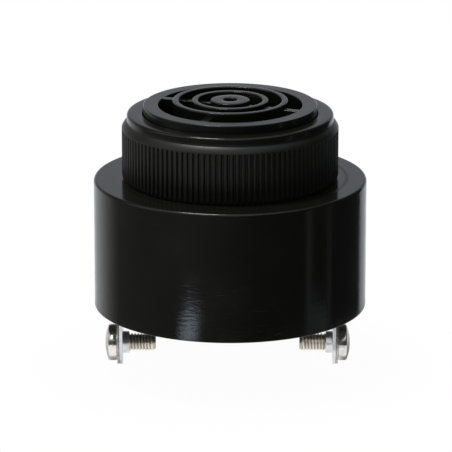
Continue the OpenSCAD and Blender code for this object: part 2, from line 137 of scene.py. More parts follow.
# Ring nut: knurled wall, rounded band, plain collar, threaded bore with a lip at its top
NUT_R = NUT_HIGH.x
NUT_FOOT_Z = NUT_LOW.z
NUT_TOP_Z = NUT_HIGH.z
NUT_BORE_R = 14.2
NUT_FOOT_ROUND = 0.1
NUT_LIP_R = 13.85
NUT_LIP_DROP = 1.8
NUT_LIP_Z = RIM_Z - NUT_LIP_DROP
NUT_CHAMFER = 0.4
NUT_CHAMFER_H = 0.6
RIB_COUNT = 117
GROOVE_W = 0.5
GROOVE_FLOOR = 0.2
GROOVE_DEPTH = 0.35
RIB_CROWN = 0.05
CROWN_SIDE = 0.6
CROWN_DIP = 0.25
RIB_RUNOUT = 0.3
COLLAR_STEP = 0.8
COLLAR_R = NUT_R - COLLAR_STEP
COLLAR_H = 1.34
COLLAR_ROUND = 0.4
LIP_ROUND = 0.25
BAND_H = 0.96
BAND_ROUND = 2.3
BAND_TOP_Z = NUT_TOP_Z - COLLAR_H
RIBS_TOP_Z = NUT_TOP_Z - COLLAR_H - BAND_H
NUT_THREAD_LOW_Z = NUT_FOOT_Z + THREAD_LOW_Z
BORE_ROWS = 6

# Screw terminals
STRIP_T = 0.5
STRIP_W = 7.1
STRIP_X = {-1: LEFT_STRIP_LOW.x, 1: RIGHT_STRIP_HIGH.x}
SCREW_Z = (SCREW_LOW.z + SCREW_HIGH.z) / 2
PLATE_T = 2.0
LUG_REACH = 0.8
LUG_LOW_Z = PLATE_LOW_Z + PLATE_T
LUG_H = 1.2
TAIL_W = 2.0
TAIL_TOP_Z = RIGHT_STRIP_HIGH.z
BOSS_R = 1.75
BOSS_L = 1.1
BOSS_BORE_R = 1.52
BOSS_ROOT = 0.25
BOSS_FOOT_ROUND = 0.2
DRILL_EXTRA = 1.0
EDGE_ROUND = 0.05

# Terminal screws and their lock washers
SCREW_R = 1.46
SCREW_L = 6.2
SCREW_PITCH = 0.5
SCREW_THREAD_DEPTH = 0.3
SCREW_THREAD_FLAT = 0.1
SCREW_THREAD_ROWS = 10
SCREW_TIP = 0.4
SCREW_RUNOUT = 0.35
HEAD_R = 2.95
HEAD_H = 1.9
HEAD_SIDE = 1.35
HEAD_BULGE = 0.07
HEAD_ROUND = 0.22
RECESS_L = 3.0
RECESS_W = 0.7
RECESS_DEPTH = 1.1
RECESS_TAPER = 0.62
RECESS_EXTRA = 0.4
WASHER_R = 3.5
WASHER_HOLE_R = 1.55
WASHER_T = 0.4
WASHER_BLANK = 0.26
TOOTH_COUNT = 44
NOTCH_W = 0.13
NOTCH_DEPTH = 0.08
TOOTH_ROUND = 0.03

# Mesh density, and the angles in degrees above which an edge is rounded or stays crisp
TURN_SEGMENTS = 256
SCREW_SEGMENTS = 64
FLOOR_SEGMENTS = 128
ARC_STEPS = 5
HEAD_ARC_STEPS = 6
ROUNDED_ANGLE = 40
CRISP_ANGLE = 32
CRISP_NUT_ANGLE = 28
CRISP_SCREW_ANGLE = 40


# Outlines

def arc_points(corner, before, after, radius, steps=ARC_STEPS):
    """Points of the arc that rounds a corner between its two neighbours."""
    to_before = (before - corner).normalized()
    to_after = (after - corner).normalized()
    half = to_before.angle(to_after) / 2
    reach = radius / math.tan(half)
    middle = corner + (to_before + to_after).normalized() * (radius / math.sin(half))
    start = corner + to_before * reach - middle
    end = corner + to_after * reach - middle
    sweep = start.angle_signed(end)
    points = []
    for i in range(steps + 1):
        turn = Matrix.Rotation(-sweep * i / steps, 2)
        points.append(middle + turn @ start)
    return points


def rounded(corners):
    """Closed outline through (x, y, radius) corners, each rounded by its radius."""
    places = [Vector(c[:2]) for c in corners]
    outline = []
    for i, (_, _, radius) in enumerate(corners):
        if radius:
            after = places[(i + 1) % len(places)]
            outline += arc_points(places[i], places[i - 1], after, radius)
        else:
            outline.append(places[i])
    return [(p.x, p.y) for p in outline]


def groove(phase, flat):
    """Depth of a V groove, from 0 on the crest to 1 at its floor, over one turn of phase."""
    part = phase % 1.0
    return max(0.0, 1 - abs(part - 0.5) / (0.5 * (1 - flat)))


def fade(z, low, high, length):
    """Runs from 0 to 1 over length inside each end of a stretch."""
    return max(0.0, min(1.0, (z - low) / length, (high - z) / length))


# Meshes

def mesh_object(name, verts, faces):
    """New object from points in millimetres, with its faces turned outwards."""
    mesh = bpy.data.meshes.new(name)
    mesh.from_pydata([Vector(v) * MM for v in verts], [], faces)
    shape = bmesh.new()
    shape.from_mesh(mesh)
    bmesh.ops.recalc_face_normals(shape, faces=shape.faces)
    shape.to_mesh(mesh)
    shape.free()
    piece = bpy.data.objects.new(name, mesh)
    bpy.context.scene.collection.objects.link(piece)
    return piece


def turned_ring(name, outline, angles, radius=None):
    """Ring turned round Z from a closed (r, z) outline.

    radius(r, z, angle) may shape it further.
    """
    count = len(outline)
    verts, faces = [], []
    for angle in angles:
        for r, z in outline:
            reach = radius(r, z, angle) if radius else r
            verts.append((reach * math.cos(angle), reach * math.sin(angle), z))
    for j in range(len(angles)):
        here, there = j * count, (j + 1) % len(angles) * count
        for i in range(count):
            k = (i + 1) % count
            faces.append((here + i, there + i, there + k, here + k))
    return mesh_object(name, verts, faces)


def turned_solid(name, outline, segments, radius=None):
    """Solid turned round Z from an open (r, z) outline whose two ends lie on the axis."""
    inner = outline[1:-1]
    count = len(inner)
    verts = [(0, 0, outline[0][1]), (0, 0, outline[-1][1])]
    faces = []
    for j in range(segments):
        angle = 2 * math.pi * j / segments
        for r, z in inner:
            reach = radius(r, z, angle) if radius else r
            verts.append((reach * math.cos(angle), reach * math.sin(angle), z))
    for j in range(segments):
        here, there = 2 + j * count, 2 + (j + 1) % segments * count
        faces.append((0, there, here))
        faces.append((1, here + count - 1, there + count - 1))
        for i in range(count - 1):
            faces.append((here + i, there + i, there + i + 1, here + i + 1))
    return mesh_object(name, verts, faces)


def extruded(name, outline, low, high):
    """Prism over an (x, y) outline, between two heights."""
    count = len(outline)
    verts = [(x, y, low) for x, y in outline] + [(x, y, high) for x, y in outline]
    faces = [tuple(range(count)), tuple(range(count, 2 * count))]
    for i in range(count):
        k = (i + 1) % count
        faces.append((i, k, count + k, count + i))
    return mesh_object(name, verts, faces)


def even_angles(segments):
    """Angles of evenly spaced segments round a full turn."""
    return [2 * math.pi * j / segments for j in range(segments)]


def joined(name, parts):
    """One object from separate meshes that don't meet."""
    shape = bmesh.new()
    for part in parts:
        part.data.transform(part.matrix_basis)
        shape.from_mesh(part.data)
        bpy.data.objects.remove(part)
    mesh = bpy.data.meshes.new(name)
    shape.to_mesh(mesh)
    shape.free()
    piece = bpy.data.objects.new(name, mesh)
    bpy.context.scene.collection.objects.link(piece)
    return piece


def combined(base, other, operation):
    """Base after a boolean with another object, which is used up."""
    step = base.modifiers.new("combine", "BOOLEAN")
    step.object = other
    step.operation = operation
    step.solver = "EXACT"
    bpy.context.view_layer.update()
    made = base.evaluated_get(bpy.context.evaluated_depsgraph_get())
    mesh = bpy.data.meshes.new_from_object(made)
    base.modifiers.clear()
    base.data = mesh
    bpy.data.objects.remove(other)
    return base


def softened(piece, width):
    """Small rounded edges, so that they catch the light."""
    step = piece.modifiers.new("edges", "BEVEL")
    step.width = width * MM
    step.segments = 2
    step.limit_method = "ANGLE"
    step.angle_limit = math.radians(ROUNDED_ANGLE)
    return piece


def smooth(piece, degrees=CRISP_ANGLE):
    """Smooth shading that stays crisp at true edges and flat on flat faces."""
    piece.data.shade_smooth()
    piece.data.set_sharp_from_angle(angle=math.radians(degrees))
    step = piece.modifiers.new("normals", "WEIGHTED_NORMAL")
    step.keep_sharp = True
    return piece


def placed(piece, body, node, material):
    """Puts a finished piece in its CAD node's place, on its body, with its material."""
    piece.data.materials.clear()
    piece.data.materials.append(material)
    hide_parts(node)
    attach(piece, body)
    return piece


# Materials

# Range that holds nearly all of a noise
NOISE_RANGE = (0.3, 0.7)


class Graph:
    """A node tree written as steps: a socket passed as an input is linked, a value is set."""

    def __init__(self, tree):
        self.tree = tree
        tree.nodes.clear()

    def add(self, kind, inputs=None, **settings):
        """New node with its settings and its inputs, by name or number."""
        node = self.tree.nodes.new(kind)
        for name, value in settings.items():
            setattr(node, name, value)
        for name, value in (inputs or {}).items():
            if isinstance(value, bpy.types.NodeSocket):
                self.tree.links.new(value, node.inputs[name])
            else:
                node.inputs[name].default_value = value
        return node

    def noise(self, coords, scale, detail, roughness=0.55):
        """Noise with a number of features to a metre."""
        inputs = {"Vector": coords, "Scale": scale, "Detail": detail, "Roughness": roughness}
        return self.add("ShaderNodeTexNoise", inputs).outputs[0]

    def stretched(self, coords, scale):
        """Coordinates scaled along each axis."""
        return self.add("ShaderNodeMapping", {"Vector": coords, "Scale": scale}).outputs[0]

    def span(self, value, low, high, to_low=0.0, to_high=1.0, kind="SMOOTHSTEP"):
        """Value carried from one range to another, and held at its ends."""
        inputs = {
            "Value": value, "From Min": low, "From Max": high, "To Min": to_low, "To Max": to_high,
        }
        return self.add("ShaderNodeMapRange", inputs, interpolation_type=kind).outputs[0]

    def span_mm(self, value, low, high, to_low=0.0, to_high=1.0):
        """Smooth step between two lengths in millimetres."""
        return self.span(value, low * MM, high * MM, to_low, to_high)

    def uneven(self, noise, middle, spread):
        """Roughness that follows a noise between two parts of its middle."""
        low, high = spread
        return self.span(noise, *NOISE_RANGE, middle * low, middle * high, "LINEAR")

    def math(self, operation, first, second=0.0):
        return self.add("ShaderNodeMath", {0: first, 1: second}, operation=operation).outputs[0]

    def axes(self, coords):
        """X, Y and Z of a vector, by name."""
        return self.add("ShaderNodeSeparateXYZ", {0: coords}).outputs

    def vector(self, operation, first, second):
        inputs = {0: first, 1: second}
        return self.add("ShaderNodeVectorMath", inputs, operation=operation).outputs[0]

    def length(self, coords):
        return self.add("ShaderNodeVectorMath", {0: coords}, operation="LENGTH").outputs["Value"]

    def between(self, factor, first, second):
        """Value between two others."""
        return self.add("ShaderNodeMix", {0: factor, 2: first, 3: second}).outputs[0]

    def blend(self, factor, first, second):
        """Colour between two others; 6 and 7 are the node's colour inputs."""
        inputs = {0: factor, 6: first, 7: second}
        return self.add("ShaderNodeMix", inputs, data_type="RGBA").outputs[2]

    def bump(self, height, depth_mm, normal=None):
        """Normal tilted by heights of a depth in millimetres, over another normal if given."""
        inputs = {"Height": height, "Distance": depth_mm * MM, "Strength": 1.0}
        if normal is not None:
            inputs["Normal"] = normal
        return self.add("ShaderNodeBump", inputs).outputs[0]


def shade(colour, factor):
    """Colour made lighter or darker, with its alpha."""
    return tuple(c * factor for c in colour) + (1.0,)


def new_material(name):
    """Empty node material, its graph and the object's own coordinates in metres."""
    material = bpy.data.materials.new(name)
    material.use_nodes = True
    graph = Graph(material.node_tree)
    coords = graph.add("ShaderNodeTexCoord").outputs["Object"]
    return material, graph, coords


def principled(graph, colour, roughness, normal, **constants):
    """Principled surface; constants are set straight on the shader."""
    inputs = {"Base Color": colour, "Roughness": roughness, "Normal": normal}
    shader = graph.add("ShaderNodeBsdfPrincipled", inputs)
    for name, value in constants.items():
        shader.inputs[name].default_value = value
    graph.add("ShaderNodeOutputMaterial", {"Surface": shader.outputs[0]})


# Moulded plastic: noise scales to a metre, stretches, ranges, shades, depths in millimetres and
# roughness
DRIFT_SCALE = 160.0
DRIFT_SHADES = (0.75, 1.3)
WAVE_SCALE = 420.0
GRAIN_SCALE = 5200.0
GRAIN_MM = 0.0012
RUB_SCALE = 900.0
RUB_STRETCH = (0.35, 0.35, 3.0)
RUB_RANGE = (0.58, 0.74)
RUB_SHADE = 2.2
RUB_ROUGHNESS = 0.16
PATCH_SCALE = 95.0
PATCH_RANGE = (0.45, 0.62)
WIPE_SCALE = 2600.0
WIPE_STRETCH = (0.2, 0.2, 1.0)
WIPE_MM = 0.004
PLASTIC_SPREAD = (0.85, 1.2)
POLISH_EDGE = 0.1
SINK_FRONT = 0.25
PLASTIC_IOR = 1.46


def moulded_plastic(name, colour, roughness, wave_mm, wipe_mm=WIPE_MM, polished=(), dull_ring=None):
    """Black moulding with colour drift, wavy skin, fine grain, wipe lines and light rub marks.

    polished lists heights in millimetres, each with the roughness of the skin above it.
    dull_ring is the radius and half width of a sink mark round the axis, and the roughness that it
    adds at the right rear.
    """
    material, graph, coords = new_material(name)
    wipe_coords = graph.stretched(coords, WIPE_STRETCH)
    rub_coords = graph.stretched(coords, RUB_STRETCH)
    drift = graph.noise(coords, DRIFT_SCALE, detail=2.0)
    wave = graph.noise(coords, WAVE_SCALE, detail=2.0, roughness=0.5)
    grain = graph.noise(coords, GRAIN_SCALE, detail=2.0)
    wipe = graph.noise(wipe_coords, WIPE_SCALE, detail=3.0, roughness=0.65)
    rub = graph.span(graph.noise(rub_coords, RUB_SCALE, detail=4.0, roughness=0.7), *RUB_RANGE)
    patch = graph.span(graph.noise(coords, PATCH_SCALE, detail=1.0), *PATCH_RANGE)
    marks = graph.math("MULTIPLY", rub, patch)
    body = graph.blend(drift, *(shade(colour, factor) for factor in DRIFT_SHADES))
    body = graph.blend(marks, body, shade(colour, RUB_SHADE))
    rough = graph.uneven(drift, roughness, PLASTIC_SPREAD)
    for height, upper in polished:
        low, high = height - POLISH_EDGE, height + POLISH_EDGE
        above = graph.span_mm(graph.axes(coords)["Z"], low, high)
        rough = graph.between(above, rough, graph.uneven(drift, upper, PLASTIC_SPREAD))
    rough = graph.math("ADD", rough, graph.math("MULTIPLY", marks, RUB_ROUGHNESS))
    if dull_ring:
        radius, half, added = dull_ring
        reach = graph.length(graph.vector("MULTIPLY", coords, (1, 1, 0)))
        away = graph.math("ABSOLUTE", graph.math("SUBTRACT", reach, radius * MM))
        axes = graph.axes(coords)
        rear = graph.span_mm(graph.math("ADD", axes["X"], axes["Y"]), 0.0, radius, SINK_FRONT, 1.0)
        ring = graph.math("MULTIPLY", graph.span_mm(away, half, 0.0), rear)
        rough = graph.math("ADD", rough, graph.math("MULTIPLY", ring, added))
    normal = graph.bump(wave, wave_mm)
    normal = graph.bump(grain, GRAIN_MM, normal)
    normal = graph.bump(wipe, wipe_mm, normal)
    principled(graph, body, rough, normal, IOR=PLASTIC_IOR)
    return material


# Plated metal: noise scales to a metre, ranges and shades, and the painted shade and grime in the
# roots of the screw threads
CLOUD_SCALE = 700.0
CLOUD_RANGE = (0.35, 0.75)
CLOUD_SHADES = (1.05, 0.78)
DRAWN_SCALE = 4000.0
METAL_SPREAD = (0.75, 1.35)
# Colour of the thread roots: painted shade, standing also for grime
THREAD_ROOT_SHADE_AND_GRIME = (0.48, 0.43, 0.36, 1.0)
GRIME_ROUGHNESS = 0.14
INBOARD_START = 0.3
CREST_EDGE = 0.02


def plated_metal(name, colour, roughness, grain_mm, grain_stretch=(1.0, 1.0, 1.0), shaded_grimy_thread=False):
    """Plated metal with faint tarnish clouds, uneven gloss and fine drawn grain.

    Set for the screws, it is duller inboard of the terminal strips, and its thread roots get
    painted shade that stands also for grime.
    """
    material, graph, coords = new_material(name)
    grain_coords = graph.stretched(coords, grain_stretch)
    grain = graph.noise(grain_coords, DRAWN_SCALE, detail=3.0, roughness=0.6)
    cloud = graph.noise(coords, CLOUD_SCALE, detail=3.0)
    tarnish = graph.span(cloud, *CLOUD_RANGE)
    tint = graph.blend(tarnish, *(shade(colour, factor) for factor in CLOUD_SHADES))
    rough = graph.uneven(cloud, roughness, METAL_SPREAD)
    if shaded_grimy_thread:
        out = graph.math("ABSOLUTE", graph.axes(coords)["X"])
        inboard = graph.span_mm(out, STRIP_X[1], STRIP_X[1] - INBOARD_START)
        from_axis = graph.vector("SUBTRACT", coords, (0, 0, SCREW_Z * MM))
        reach = graph.length(graph.vector("MULTIPLY", from_axis, (0, 1, 1)))
        root = graph.span_mm(reach, SCREW_R - CREST_EDGE, SCREW_R - SCREW_THREAD_DEPTH)
        # Painted shade: the thread roots inboard of the strips are darkened, which stands also for
        # grime
        tint = graph.blend(graph.math("MULTIPLY", root, inboard), tint, THREAD_ROOT_SHADE_AND_GRIME)
        rough = graph.math("ADD", rough, graph.math("MULTIPLY", inboard, GRIME_ROUGHNESS))
    principled(graph, tint, rough, graph.bump(grain, grain_mm), Metallic=1.0)
    return material


# Pieces inside the can: noise scales to a metre, shades, roughness and depths in millimetres
MOTTLE_SCALE = 900.0
MOTTLE_SHADES = (0.75, 1.25)
INNER_SPREAD = (0.8, 1.2)
INNER_GRAIN_SCALE = 5400.0
INNER_GRAIN_MM = 0.003
# Wire colour across a turn: darker between the turns and lighter on their crests, as painted shade
# and painted highlight
WIRE_SHADES = (0.55, 1.15)
WIRE_ROUGHNESS = (0.45, 0.25)
WIRE_RIDGE_MM = 0.05

# Blender's wave texture runs at this many radians for a length of one over its scale
WAVE_RATE = 20


def inner_material(name, colour, roughness, metallic=0.0):
    """Surface of a piece inside the can: its colour with fine mottling and grain."""
    material, graph, coords = new_material(name)
    mottle = graph.noise(coords, MOTTLE_SCALE, detail=4.0, roughness=0.6)
    tint = graph.blend(mottle, *(shade(colour, factor) for factor in MOTTLE_SHADES))
    rough = graph.uneven(mottle, roughness, INNER_SPREAD)
    normal = graph.bump(graph.noise(coords, INNER_GRAIN_SCALE, detail=2.0), INNER_GRAIN_MM)
    principled(graph, tint, rough, normal, Metallic=metallic)
    return material


def wound_material(name, colour, radian_mm):
    """Enamelled wire in turns, as ridges; radian_mm is the length of one radian of them."""
    material, graph, coords = new_material(name)
    inputs = {"Vector": coords, "Scale": 1 / (radian_mm * MM) / WAVE_RATE, "Distortion": 0.6}
    ridge = graph.add("ShaderNodeTexWave", inputs, wave_type="BANDS", bands_direction="Z")
    ridge = ridge.outputs["Fac"]
    # Painted shade between the turns and painted highlight on their crests
    tint = graph.blend(ridge, *(shade(colour, factor) for factor in WIRE_SHADES))
    rough = graph.span(ridge, 0.0, 1.0, *WIRE_ROUGHNESS, "LINEAR")
    principled(graph, tint, rough, graph.bump(ridge, WIRE_RIDGE_MM), Metallic=1.0)
    return material


# Pieces

def housing_outline():
    """Section of the can, shoulder and neck, from the foot up the outside and down the inside."""
    corners = [
        (PLATE_BORE_R, CAN_FOOT_Z, FOOT_BORE_ROUND),
        (CAN_R, CAN_FOOT_Z, FOOT_ROUND),
        (CAN_R, 0, SHOULDER_ROUND),
        (NECK_R, 0, NECK_ROOT_ROUND),
        (NECK_R, THREAD_LOW_Z, 0),
    ]
    rows = int((THREAD_HIGH_Z - THREAD_LOW_Z) / THREAD_PITCH * THREAD_ROWS)
    for i in range(1, rows):
        corners.append((NECK_R, THREAD_LOW_Z + (THREAD_HIGH_Z - THREAD_LOW_Z) * i / rows, 0))
    corners += [
        (NECK_R, THREAD_HIGH_Z, 0),
        (RELIEF_R, THREAD_HIGH_Z + NECK_R - RELIEF_R, 0),
        (RELIEF_R, LAND_Z, 0),
        (LAND_R, LAND_Z, 0),
        (LAND_R, RIM_Z, RIM_OUTER_ROUND),
        (NECK_BORE_R, RIM_Z, RIM_INNER_ROUND),
        (NECK_BORE_R, CEILING_Z, CEILING_ROUND),
        (CLAMP_R, CEILING_Z, 0),
        (CLAMP_R, SEAT_Z, 0),
        (DIAPHRAGM_R, SEAT_Z, 0),
        (DIAPHRAGM_R, CEILING_Z, 0),
        (CAN_BORE_R, CEILING_Z, CEILING_ROUND),
        (CAN_BORE_R, PLATE_SEAT_Z, 0),
        (PLATE_BORE_R, PLATE_SEAT_Z, 0),
    ]
    return rounded(corners)


def neck_thread(r, z, angle):
    """Right-hand thread cut into the neck's outer wall."""
    if abs(r - NECK_R) > SAME or not THREAD_LOW_Z < z < THREAD_HIGH_Z:
        return r
    phase = z / THREAD_PITCH - angle / (2 * math.pi)
    depth = THREAD_DEPTH * fade(z, THREAD_LOW_Z, THREAD_HIGH_Z, THREAD_PITCH / 2)
    return r - depth * groove(phase, THREAD_FLAT)


def grille_ring(name, outer, inner):
    """Raised ring of the grille, rounded along its edges."""
    corners = [
        (inner, ARM_LOW_Z, RING_ROUND),
        (outer, ARM_LOW_Z, RING_ROUND),
        (outer, GRILLE_TOP_Z, RING_ROUND),
        (inner, GRILLE_TOP_Z, RING_ROUND),
    ]
    return turned_ring(name, rounded(corners), even_angles(TURN_SEGMENTS // 2))


def grille_arm(turn):
    """Bar from the hub to the rim, rounded along its top edges."""
    half = ARM_W / 2
    low = ARM_LOW_Z + ARM_LIFT
    section = [
        (-half, low, 0),
        (half, low, 0),
        (half, RIM_Z, ARM_ROUND),
        (-half, RIM_Z, ARM_ROUND),
    ]
    arm = extruded("arm", rounded(section), ARM_START_R, NECK_BORE_R + ARM_ROOT)
    to_radial = Matrix(((0, 0, 1), (1, 0, 0), (0, 1, 0))).to_4x4()
    arm.data.transform(Matrix.Rotation(turn, 4, "Z") @ to_radial)
    return arm


def make_housing(material):
    """Can with its threaded neck, and the grille joined into it."""
    angles = even_angles(TURN_SEGMENTS)
    shell = turned_ring("housing_moulding", housing_outline(), angles, neck_thread)
    rings = [
        grille_ring("hub", HUB_R, HUB_HOLE_R),
        grille_ring("inner_ring", INNER_RING_R, INNER_RING_R - RING_W),
        grille_ring("outer_ring", OUTER_RING_R, OUTER_RING_R - RING_W),
    ]
    arms = [grille_arm(ARM_TURN + i * 2 * math.pi / ARM_COUNT) for i in range(ARM_COUNT)]
    grille = combined(joined("grille", rings), joined("arms", arms), "UNION")
    combined(shell, grille, "UNION")
    return placed(smooth(shell), "can", "housing", material)


def nut_outline():
    """Section of the nut, from the bore's foot out, up the knurl and down the bore."""
    corners = [
        (NUT_BORE_R, NUT_FOOT_Z, NUT_FOOT_ROUND),
        (NUT_R - NUT_CHAMFER, NUT_FOOT_Z, 0),
    ]
    steps = 5
    for i in range(1, steps):
        part = i / steps
        corners.append((NUT_R - NUT_CHAMFER * (1 - part), NUT_FOOT_Z + NUT_CHAMFER_H * part, 0))
    corners.append((NUT_R, NUT_FOOT_Z + NUT_CHAMFER_H, 0))
    steps = 4
    for i in range(steps + 1):
        corners.append((NUT_R, RIBS_TOP_Z - RIB_RUNOUT * (1 - i / steps), 0))
    chord = Vector((NUT_R - COLLAR_R, BAND_H))
    inset = math.sqrt(BAND_ROUND ** 2 - chord.length_squared / 4) / chord.length
    middle = Vector((
        COLLAR_R + chord.x / 2 - inset * BAND_H,
        RIBS_TOP_Z + BAND_H / 2 - inset * chord.x,
    ))
    low_turn = math.atan2(RIBS_TOP_Z - middle.y, NUT_R - middle.x)
    high_turn = math.atan2(BAND_TOP_Z - middle.y, COLLAR_R - middle.x)
    steps = 9
    for i in range(1, steps):
        turn = low_turn + (high_turn - low_turn) * i / steps
        r, z = middle.x + BAND_ROUND * math.cos(turn), middle.y + BAND_ROUND * math.sin(turn)
        corners.append((r, z, 0))
    corners += [
        (COLLAR_R, BAND_TOP_Z, 0),
        (COLLAR_R, NUT_TOP_Z, COLLAR_ROUND),
        (NUT_LIP_R, NUT_TOP_Z, LIP_ROUND),
        (NUT_LIP_R, NUT_LIP_Z, 0),
        (NUT_BORE_R, NUT_LIP_Z, 0),
    ]
    low, high = NUT_THREAD_LOW_Z, THREAD_HIGH_Z
    rows = int((high - low) / THREAD_PITCH * BORE_ROWS)
    for i in range(rows + 1):
        corners.append((NUT_BORE_R, high + (low - high) * i / rows, 0))
    return rounded(corners)


def rib_samples():
    """(angle, depth) round the knurl: crowned crests and flat-floored grooves."""
    pitch = 2 * math.pi / RIB_COUNT
    arc = pitch * NUT_R
    crest = (arc - GROOVE_W) / 2 / arc
    floor = 0.5 - GROOVE_FLOOR / 2 / arc
    side, dip = crest * CROWN_SIDE, RIB_CROWN * CROWN_DIP
    places = [
        (-floor, GROOVE_DEPTH), (-crest, RIB_CROWN), (-side, dip), (0, 0),
        (side, dip), (crest, RIB_CROWN), (floor, GROOVE_DEPTH),
    ]
    return [((i + part) * pitch, depth) for i in range(RIB_COUNT) for part, depth in places]


def make_nut(material):
    """Ring nut with its knurl outside and its thread in the bore."""
    samples = rib_samples()
    depths = dict(samples)
    angles = [angle for angle, depth in samples]
    low, high = NUT_THREAD_LOW_Z, THREAD_HIGH_Z

    def shape(r, z, angle):
        if r > NUT_R - GROOVE_DEPTH:
            runout = max(0.0, min(1.0, (RIBS_TOP_Z - z) / RIB_RUNOUT))
            return min(r, NUT_R - depths[angle] * runout)
        if abs(r - NUT_BORE_R) < SAME and low < z < high:
            phase = z / THREAD_PITCH - angle / (2 * math.pi)
            depth = THREAD_DEPTH * fade(z, low, high, THREAD_PITCH / 2)
            return r + depth * groove(phase, THREAD_FLAT)
        return r

    nut = turned_ring("knurled_ring_nut", nut_outline(), angles, shape)
    smooth(nut, CRISP_NUT_ANGLE)
    return placed(nut, "ring_nut", "ring_nut", material)


def at_terminal(piece, side):
    """Turns a piece built along +Z outwards along X at a terminal; its own +Y stays along Y."""
    turn = Matrix.Rotation(math.pi / 2 * side, 4, "Y")
    move = Matrix.Translation(Vector((STRIP_X[side], 0, SCREW_Z)) * MM)
    piece.data.transform(move @ turn)
    return piece


def strip_outline(side):
    """Outline of a terminal strip with its screw at [0, 0].

    Its x runs up on the left and down on the right, as at_terminal turns it.
    """
    half = STRIP_W / 2
    lug_y = LUG_LOW_Z - SCREW_Z
    board_y = BOARD_LOW_Z - SCREW_Z
    tail_y = TAIL_TOP_Z - SCREW_Z
    steps = 32
    points = []
    for i in range(steps + 1):
        turn = math.pi + math.pi * i / steps
        points.append((half * math.cos(turn), half * math.sin(turn)))
    points += [
        (half, lug_y),
        (half + LUG_REACH, lug_y),
        (half + LUG_REACH, lug_y + LUG_H),
        (half, lug_y + LUG_H),
        (half, board_y),
        (TAIL_W / 2, board_y),
        (TAIL_W / 2, tail_y),
    ]
    mirrored = [(-x, y) for x, y in reversed(points[steps + 1:])]
    return [(-side * y, x) for x, y in points + mirrored]


def make_terminal(side, name, material):
    """Strip with its boss, drilled through for the screw."""
    strip = extruded(name, strip_outline(side), -STRIP_T, 0)
    foot = -STRIP_T - BOSS_L
    boss_section = [
        (BOSS_BORE_R / 2, foot, 0),
        (BOSS_R, foot, BOSS_FOOT_ROUND),
        (BOSS_R, -STRIP_T, BOSS_ROOT),
        (BOSS_R + 2 * BOSS_ROOT, -STRIP_T, 0),
        (BOSS_R + 2 * BOSS_ROOT, -STRIP_T / 2, 0),
        (BOSS_BORE_R / 2, -STRIP_T / 2, 0),
    ]
    boss = turned_ring("boss", rounded(boss_section), even_angles(SCREW_SEGMENTS))
    low, high = foot - DRILL_EXTRA, DRILL_EXTRA
    drill_section = [(0, low), (BOSS_BORE_R, low), (BOSS_BORE_R, high), (0, high)]
    combined(strip, boss, "UNION")
    combined(strip, turned_solid("drill", drill_section, SCREW_SEGMENTS), "DIFFERENCE")
    at_terminal(strip, side)
    smooth(softened(strip, EDGE_ROUND))
    return placed(strip, "can", name.replace("_strip", ""), material)


def screw_outline():
    """Section of a screw along its axis, from the tip to the crown of the head."""
    seat = WASHER_T
    tip = seat - SCREW_L
    core = SCREW_R - SCREW_THREAD_DEPTH
    low, high = tip + SCREW_TIP, seat - SCREW_RUNOUT
    outline = [(0, tip), (SCREW_R - SCREW_TIP, tip)]
    rows = int((high - low) / SCREW_PITCH * SCREW_THREAD_ROWS)
    outline += [(SCREW_R, low + (high - low) * i / rows) for i in range(rows + 1)]
    outline += [(core, high + SCREW_THREAD_DEPTH), (core, seat)]
    steps = 10
    for i in range(steps - 1):
        part = i / steps
        outline.append((HEAD_R - HEAD_BULGE * (2 * part - 1) ** 2, seat + HEAD_SIDE * part))
    edge, crown = HEAD_R - HEAD_BULGE, HEAD_H - HEAD_SIDE
    dome = (edge ** 2 + crown ** 2) / (2 * crown)
    start = math.asin((edge - HEAD_ROUND) / dome)
    rise = Vector((dome * math.sin(start), seat + HEAD_H - dome + dome * math.cos(start)))
    corner, before = Vector((edge, seat + HEAD_SIDE)), Vector(outline[-1])
    for point in arc_points(corner, before, rise, HEAD_ROUND, HEAD_ARC_STEPS):
        outline.append(tuple(point))
    for i in range(1, steps):
        turn = start * (1 - i / steps)
        outline.append((dome * math.sin(turn), seat + HEAD_H - dome + dome * math.cos(turn)))
    outline.append((0, seat + HEAD_H))
    return outline


def recess_slot(turn):
    """Tapered slot of the cross recess."""
    top, foot = WASHER_T + HEAD_H + RECESS_EXTRA, WASHER_T + HEAD_H - RECESS_DEPTH
    verts = []
    for z, part in ((foot, RECESS_TAPER), (top, 1.0)):
        x, y = RECESS_L / 2 * part, RECESS_W / 2 * part
        verts += [(-x, -y, z), (x, -y, z), (x, y, z), (-x, y, z)]
    faces = [(0, 1, 2, 3), (4, 5, 6, 7), (0, 1, 5, 4), (1, 2, 6, 5), (2, 3, 7, 6), (3, 0, 4, 7)]
    slot = mesh_object("slot", verts, faces)
    slot.data.transform(Matrix.Rotation(turn, 4, "Z"))
    return slot


def make_screw(side, name, body, material):
    """Threaded screw with a cross recess in its domed head."""

    def thread(r, z, angle):
        if abs(r - SCREW_R) > SAME:
            return r
        phase = z / SCREW_PITCH - angle / (2 * math.pi)
        return r - SCREW_THREAD_DEPTH * groove(phase, SCREW_THREAD_FLAT)

    screw = turned_solid(name, screw_outline(), SCREW_SEGMENTS, thread)
    for turn in (math.pi / 4, 3 * math.pi / 4):
        combined(screw, recess_slot(turn), "DIFFERENCE")
    at_terminal(screw, side)
    smooth(screw, CRISP_SCREW_ANGLE)
    return placed(screw, body, name.replace("_threaded", ""), material)


